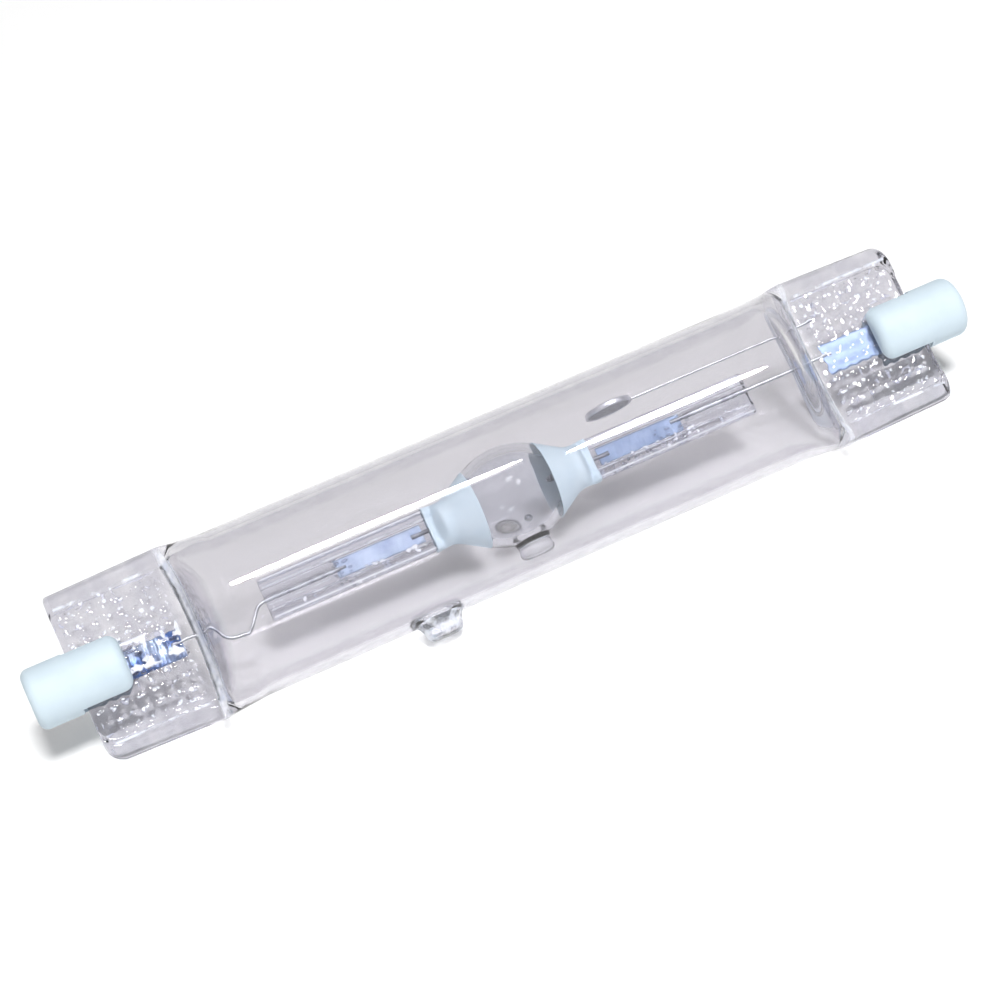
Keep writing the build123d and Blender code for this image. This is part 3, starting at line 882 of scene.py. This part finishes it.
# Painted press highlights: white spots in rows on both faces of the pinches, painted highlights in place of
# the dimples' sparkle, a painted bright band along the foot of the shoulder and white blotches over the left
# foil. All are one thin skin on the pressed glass.
# White and grey of the painted highlights on the pinches, the stems and the jacket's tip.
highlight_white = (0.90, 0.92, 0.98, 1.0)
highlight_grey = (0.74, 0.78, 0.90, 1.0)
press_highlights_start = 44.8
press_highlights_end = pinch_end - 0.8
press_highlights_steps = 64
press_highlights_gap = 0.012
sparkles_per_metre = 620.0
sparkle_stretch = 0.8
sparkle_stray = (0.0016, 0.0009, 0.0)
sparkle_edge = (0.1, 0.26)
sparkle_cover = 0.95
sparkles_from = (47.1, 47.5)
foil_edge = (2.3, 2.7)
bead_foot = (9.3, 9.9)
foot_highlight_place = 9.55
foot_highlight_from = (47.0, 47.8)
seam_place = 46.15
seam_half = 0.75
seam_highlight_cover = 0.66
blotch_edge = (1.9, 2.4)
blotches_up_to = (-47.6, -47.1)


def lamp_place(tree):
    """The place on the piece, how far along the lamp it is and how far up the pinch's plane."""
    place = object_place(tree)
    split = tree.nodes.new("ShaderNodeSeparateXYZ")
    tree.links.new(place, split.inputs["Vector"])
    height = tree.nodes.new("ShaderNodeVectorMath")
    height.operation = "DOT_PRODUCT"
    height.inputs[1].default_value = rise
    tree.links.new(place, height.inputs[0])
    return place, split.outputs["X"], height.outputs["Value"]


def fade(tree, value, start, end, first=0.0, last=1.0):
    """A soft S from first to last while the value goes from start to end."""
    faded = ramp(tree, value, start, end, first, last)
    faded.node.interpolation_type = "SMOOTHSTEP"
    return faded


def fade_over(tree, value, zone, first=0.0, last=1.0):
    """The same over a zone in millimetres."""
    return fade(tree, value, zone[0] * mm, zone[1] * mm, first, last)


def patchy(tree, place, per_metre, detail, edges, cover=(0.0, 1.0)):
    """Noise cut to patches, whose cover rises between two of the noise's values."""
    return fade(tree, noise(tree, place, per_metre, detail), *edges, *cover)


def stripe(tree, value, middle, core, edge, cover=1.0):
    """A soft stripe in millimetres: full up to the core's distance and gone at the edge's."""
    off = reckon(tree, "ABSOLUTE", reckon(tree, "SUBTRACT", value, middle * mm))
    return fade(tree, off, core * mm, edge * mm, cover, 0.0)


def end_skins(name, places, ring_at, material, node_name, turned=True):
    """A thin skin over the same places at both ends of the lamp."""
    for hand, side in (("left", -1), ("right", 1)):
        corners, faces = ring_skin([ring_at(side * x) for x in places], closed_ends=False)
        if turned and side > 0:
            faces = [f[::-1] for f in faces]
        mesh_piece(f"{name}_{hand}", corners, faces, material, node_name)


press_highlights = mottled(
    "Painted press highlights", highlight_white, highlight_grey, patches=900.0, grains=6000.0, relief=0.00003, roughness=0.5,
)
tree = press_highlights.node_tree
place, along, across = lamp_place(tree)
reach = reckon(tree, "ABSOLUTE", along)
up = reckon(tree, "ABSOLUTE", across)
flat = tree.nodes.new("ShaderNodeCombineXYZ")
tree.links.new(reckon(tree, "MULTIPLY", along, sparkle_stretch), flat.inputs["X"])
tree.links.new(across, flat.inputs["Y"])
stray = tree.nodes.new("ShaderNodeVectorMath")
stray.operation = "MULTIPLY_ADD"
stray.inputs[1].default_value = sparkle_stray
tree.links.new(noise(tree, place, 420.0, 2.0).node.outputs["Color"], stray.inputs[0])
tree.links.new(flat.outputs["Vector"], stray.inputs[2])
cells = tree.nodes.new("ShaderNodeTexVoronoi")
cells.voronoi_dimensions = "2D"
cells.inputs["Scale"].default_value = sparkles_per_metre
cells.inputs["Randomness"].default_value = 0.4
tree.links.new(stray.outputs["Vector"], cells.inputs["Vector"])
# Painted highlights: white spots in rows that stand in for the sparkle of the press dimples.
sparkle = fade(tree, cells.outputs["Distance"], *sparkle_edge, sparkle_cover, 0.0)
sparkle_gaps = patchy(tree, place, per_metre=1400.0, detail=2.0, edges=(0.46, 0.6))
past_seam = fade_over(tree, reach, sparkles_from)
beside_foil = fade_over(tree, up, foil_edge)
inside_beads = fade_over(tree, up, bead_foot, 1.0, 0.0)
painted_sparkles = reckon(tree, "MULTIPLY", sparkle, sparkle_gaps, past_seam, beside_foil, inside_beads)
# Painted highlight: a bright band along the shoulder's foot, in place of the light refracted there.
edge_share = reckon(tree, "MULTIPLY", up, 1 / (half_width_inner * mm))
bow = reckon(tree, "MULTIPLY", edge_share, edge_share, -shoulder_bow * mm)
off_bow = reckon(tree, "ADD", reach, bow, shoulder_bow * mm)
seam_highlight = stripe(tree, off_bow, seam_place, core=seam_half * 0.25, edge=seam_half, cover=seam_highlight_cover)
seam_breakup = patchy(tree, place, per_metre=520.0, detail=3.0, edges=(0.32, 0.58), cover=(0.45, 1.0))
seam_highlight = reckon(tree, "MULTIPLY", seam_highlight, seam_breakup, fade(tree, edge_share, 0.75, 1.0, 1.0, 0.4))
# Painted highlight: a dashed white line along the foot of each edge bead.
dashes = patchy(tree, place, per_metre=330.0, detail=3.0, edges=(0.44, 0.56), cover=(0.1, 0.75))
foot_highlight = stripe(tree, up, foot_highlight_place, core=0.08, edge=0.3)
foot_highlight = reckon(tree, "MULTIPLY", foot_highlight, dashes, fade_over(tree, reach, foot_highlight_from))
blotch = patchy(tree, place, per_metre=560.0, detail=2.0, edges=(0.5, 0.57), cover=(0.0, 0.85))
over_foil = fade_over(tree, up, blotch_edge, 1.0, 0.0)
blotch = reckon(tree, "MULTIPLY", blotch, over_foil, fade_over(tree, along, blotches_up_to, 1.0, 0.0))
see_through(press_highlights, reckon(tree, "MAXIMUM", painted_sparkles, seam_highlight, foot_highlight, blotch))
press_highlights_length = press_highlights_end - press_highlights_start
press_highlights_places = [press_highlights_start + press_highlights_length * i / press_highlights_steps for i in range(press_highlights_steps + 1)]
end_skins(
    "painted_press_highlight", press_highlights_places, lambda x: jacket_ring(x, shrink=-press_highlights_gap),
    press_highlights, "outer_jacket",
)

# Painted stem highlights: white lines along the beads and edges of the stems, painted highlights in place of
# the beads' reflections, and white specks beside the foils. One thin skin on each stem, clear in between.
stem_highlights_start = 12.2
stem_highlights_end = stem_end - 0.35
stem_highlights_steps = 40
stem_highlights_gap = 0.01
bead_highlight_place = 1.62
edge_highlight_place = 2.62
specks_up_to = (-1.2, -0.9)

stem_highlights = mottled(
    "Painted stem highlights", highlight_white, highlight_grey, patches=900.0, grains=6000.0, relief=0.00003, roughness=0.5,
)
tree = stem_highlights.node_tree
place, along, across = lamp_place(tree)
up = reckon(tree, "ABSOLUTE", across)
# Painted highlights: white lines along the stems' beads and edges (the edge mask below), in place of their
# reflections.
broken = patchy(tree, place, per_metre=300.0, detail=3.0, edges=(0.4, 0.55), cover=(0.15, 0.7))
bead_highlight = reckon(tree, "MULTIPLY", stripe(tree, up, bead_highlight_place, core=0.04, edge=0.18), broken)
edge = stripe(tree, up, edge_highlight_place, core=0.05, edge=0.22, cover=0.75)
specks = patchy(tree, place, per_metre=1100.0, detail=2.0, edges=(0.6, 0.66), cover=(0.0, 0.85))
specks = reckon(tree, "MULTIPLY", specks, fade_over(tree, across, specks_up_to, 1.0, 0.0))
see_through(stem_highlights, reckon(tree, "MAXIMUM", bead_highlight, edge, specks))
stem_length = stem_highlights_end - stem_highlights_start
stem_places = [stem_highlights_start + stem_length * i / stem_highlights_steps for i in range(stem_highlights_steps + 1)]
end_skins(
    "stem_highlights", stem_places, lambda x: arc_tube_ring(x, grow=stem_highlights_gap),
    stem_highlights, "arc_tube",
)

# Painted tip light: a milky skin on the jacket's melted-off tip, painted light that lightens the dark seen
# through the tip and stands in for its glints.
# It is one thin skin over the round of the tip and open at its end.
tip_gap = 0.015

tip_light = mottled(
    "Painted tip light", highlight_white, highlight_grey, patches=700.0, grains=4000.0, relief=0.00005, roughness=0.4,
)
tree = tip_light.node_tree
# Painted light: a patchy milky cover that lightens the tip.
tip_light_cover = patchy(tree, object_place(tree), per_metre=620.0, detail=3.0, edges=(0.38, 0.62), cover=(0.25, 0.8))
see_through(tip_light, tip_light_cover)
tip_light_outline = [(radius + tip_gap, height) for radius, height in tip_outline[2:-1]]
tip_skin = lathe("tip_skin", tip_light_outline, at(jacket_tip_x, 0, 0), -rise, lamp_way, 72)
finish_piece("tip_light", mesh_of(tip_skin), tip_light, "outer_jacket")

# Painted shoulder light: a milky band on the hollow's end, painted light that stands in for the light
# refracted at the shoulder.
# It is a skin on the glass, with thin and thick patches.
# White and grey of the painted bright band at the shoulder.
shoulder_light_white = (0.82, 0.86, 0.97, 1.0)
shoulder_light_grey = (0.66, 0.71, 0.86, 1.0)
shoulder_light_start = 44.9
shoulder_light_end = hollow_end - 0.12
shoulder_light_steps = 12
shoulder_light_gap = 0.03
shoulder_light_cover = (0.5, 0.9)

shoulder_light = mottled(
    "Painted shoulder light", shoulder_light_white, shoulder_light_grey, patches=500.0, grains=3000.0, relief=0.00003, roughness=0.6,
)
tree = shoulder_light.node_tree
# Painted light: the band's patchy cover.
see_through(shoulder_light, ramp(tree, noise(tree, object_place(tree), 420.0, 4.0), 0.35, 0.7, *shoulder_light_cover))
shoulder_light_turns = [radians(90 * step / shoulder_light_steps) for step in range(shoulder_light_steps + 1)]
shoulder_light_places = [shoulder_light_start + (shoulder_light_end - shoulder_light_start) * sin(turn) for turn in shoulder_light_turns]
end_skins(
    "shoulder_light_painted", shoulder_light_places, lambda x: hollow_ring(x, gap=shoulder_light_gap),
    shoulder_light, "outer_jacket", turned=False,
)

# End caps: turned steatite, fired matte white, slotted to straddle the pinch and held
# there by cement. A well in the outer end leads to the contact.
cap_white = (0.62, 0.73, 0.80, 1.0)
cap_shade = (0.58, 0.69, 0.77, 1.0)
cap_inset = 0.01
cap_outer_round = 1.2
cap_inner_round = 1.5
well_radius = 1.8
well_lip = 0.25
well_depth = 2.5
pocket_radius = 1.53
pocket_depth = 0.8
slot_half = 1.65
slot_reach = 6.0
slot_past_pinch = 0.5

steatite = mottled(
    "Fired steatite", cap_white, cap_shade, patches=240.0, grains=4500.0, relief=0.00003, roughness=0.62,
)
for hand, side in (("left", -1), ("right", 1)):
    low, high = in_lamp(f"end_cap_{hand}")
    radius = (high[1] - low[1]) / 2 - cap_inset / 2
    length = high[0] - low[0]
    well_floor = length - well_depth
    inner_face = low[0] if side > 0 else high[0]
    inner_centre = (radius - cap_inner_round, cap_inner_round + cap_inset)
    outer_centre = (radius - cap_outer_round, length - cap_outer_round - cap_inset)
    outline = [(0, cap_inset)]
    outline += corner_arc(inner_centre, (cap_inner_round, cap_inner_round), -90, 0, 10)
    outline += corner_arc(outer_centre, (cap_outer_round, cap_outer_round), 0, 90, 10)
    outline += [(well_radius + well_lip, length - cap_inset), (well_radius, length - well_lip)]
    outline += [(well_radius, well_floor), (pocket_radius, well_floor)]
    outline += [(pocket_radius, well_floor - pocket_depth), (0, well_floor - pocket_depth)]
    body = lathe("cap_body", outline, at(inner_face, 0, 0), lamp_way * side, rise, 128)
    slot_corners = []
    for x in (-1.0, pinch_end + slot_past_pinch - abs(inner_face)):
        for up in (-slot_reach, slot_reach):
            for out in (-slot_half, slot_half):
                slot_corners.append(at(inner_face + side * x, up, out))
    slot_faces = [(0, 1, 3, 2), (4, 6, 7, 5), (0, 4, 5, 1), (2, 3, 7, 6), (0, 2, 6, 4), (1, 5, 7, 3)]
    cap_mesh = joined_mesh(body, loose_object("cap_slot", slot_corners, slot_faces), "DIFFERENCE")
    cap_mesh.set_sharp_from_angle(angle=radians(40))
    finish_piece(f"cap_{hand}", cap_mesh, steatite, f"end_cap_{hand}")

# Cap cement: white refractory cement, pushed into the slot round the pinch and baked.
# It is dull and rough, and only its edge shows between cap and glass.
cement_white = (0.66, 0.72, 0.78, 1.0)
cement_grey = (0.52, 0.56, 0.62, 1.0)

cement = mottled(
    "Refractory cement", cement_white, cement_grey,
    patches=1200.0, grains=5000.0, relief=0.0001, roughness=0.92,
)
dress(cement, "cap_cement_left", "cap_cement_right")

# Cap contacts: nickel buttons at the bottom of the wells, crimped on the outer leads.
# They are stamped bright and soon dull where the holder's pins touch them.
nickel_bright = (0.52, 0.50, 0.46, 1.0)
nickel_worn = (0.33, 0.31, 0.28, 1.0)

nickel = mottled(
    "Nickel contact", nickel_bright, nickel_worn,
    patches=800.0, grains=6000.0, relief=0.00002, roughness=0.35, metallic=1.0,
)
dress(nickel, "cap_contact_left", "cap_contact_right")

# Studio: a white floor that keeps the lamp's shadow and a white surround, one broad key
# lamp and a weak fill, and two small strips that only draw the highlights on the glass.
floor_white = (0.93, 0.93, 0.93, 1.0)
floor_roughness = 0.9
floor_half = 4.0
floor_lift = 0.11
surround_light = 0.21
eye_distance = 325.0
eye_turn = radians(10.5)
eye_rise = radians(35.4)
picture_roll = radians(23.3)
aim = at(-1.5, 0, 0)
lens = 87.5


def seen_directly(tree):
    """1 for rays from the camera, a reflection or through glass, and 0 for the rest."""
    ray = tree.nodes.new("ShaderNodeLightPath").outputs
    return reckon(tree, "MAXIMUM", ray["Is Camera Ray"], ray["Is Glossy Ray"], ray["Is Transmission Ray"])


floor_mesh = bpy.data.meshes.new("floor")
floor_corners = [(x * floor_half, y * floor_half, 0) for x, y in ((-1, -1), (1, -1), (1, 1), (-1, 1))]
floor_mesh.from_pydata(floor_corners, [], [(0, 1, 2, 3)])
floor = bpy.data.objects.new("floor", floor_mesh)
floor.location.z = cad_box[0].z
bpy.context.scene.collection.objects.link(floor)
floor_paint, tree, shader = new_material("Studio floor")
shader.inputs["Base Color"].default_value = floor_white
shader.inputs["Roughness"].default_value = floor_roughness
shader.inputs["Emission Color"].default_value = (1, 1, 1, 1)
tree.links.new(reckon(tree, "MULTIPLY", seen_directly(tree), floor_lift), shader.inputs["Emission Strength"])
floor_mesh.materials.append(floor_paint)

world = bpy.data.worlds.new("Studio")
bpy.context.scene.world = world
world.use_nodes = True
tree = world.node_tree
backdrop = tree.nodes["Background"]
backdrop.inputs["Color"].default_value = (1, 1, 1, 1)
tree.links.new(ramp(tree, seen_directly(tree), 0.0, 1.0, surround_light, 1.0), backdrop.inputs["Strength"])

to_eye = Vector((-sin(eye_turn), -cos(eye_turn) * cos(eye_rise), cos(eye_turn) * sin(eye_rise)))
level_right = (lamp_way - to_eye * lamp_way.dot(to_eye)).normalized()
level_up = to_eye.cross(level_right)
picture_right = level_right * cos(picture_roll) - level_up * sin(picture_roll)
picture_up = level_right * sin(picture_roll) + level_up * cos(picture_roll)
camera_data = bpy.data.cameras.new("camera")
camera_data.lens = lens
camera_data.sensor_width = 36.0
camera_data.clip_start = 0.01
camera = bpy.data.objects.new("camera", camera_data)
bpy.context.scene.collection.objects.link(camera)
facing = Matrix((picture_right, picture_up, to_eye)).transposed().to_4x4()
camera.matrix_world = Matrix.Translation(aim + to_eye * eye_distance * mm) @ facing
bpy.context.scene.camera = camera
bpy.context.scene.view_settings.view_transform = "Standard"


def studio_lamp(name, along, turn, distance, length, width, radiance):
    """An area lamp, turned round the jacket's axis from the camera's side, square to the axis."""
    flat_eye = Vector((0, to_eye.y, to_eye.z)).normalized()
    around = flat_eye * cos(radians(turn)) - lamp_way.cross(flat_eye) * sin(radians(turn))
    data = bpy.data.lights.new(name, "AREA")
    data.shape = "ELLIPSE"
    data.size = length * mm
    data.size_y = width * mm
    data.energy = radiance * pi * length * mm * width * mm
    lamp = bpy.data.objects.new(name, data)
    bpy.context.scene.collection.objects.link(lamp)
    facing = Matrix((lamp_way, around.cross(lamp_way), around)).transposed().to_4x4()
    lamp.matrix_world = Matrix.Translation((lamp_way * along + around * distance) * mm) @ facing
    return lamp


left_strip = studio_lamp(
    "left_strip", along=95.0, turn=38.0, distance=960.0, length=190.0, width=112.0, radiance=110.0,
)
left_strip.visible_diffuse = False
right_strip = studio_lamp(
    "right_strip", along=276.0, turn=23.0, distance=960.0, length=122.0, width=130.0, radiance=110.0,
)
right_strip.visible_diffuse = False
studio_lamp("left_fill", along=-500.0, turn=40.0, distance=1500.0, length=800.0, width=800.0, radiance=0.8)
key = studio_lamp("key", along=100.0, turn=24.0, distance=2000.0, length=430.0, width=430.0, radiance=68.0)
key.visible_glossy = False
key.visible_transmission = False
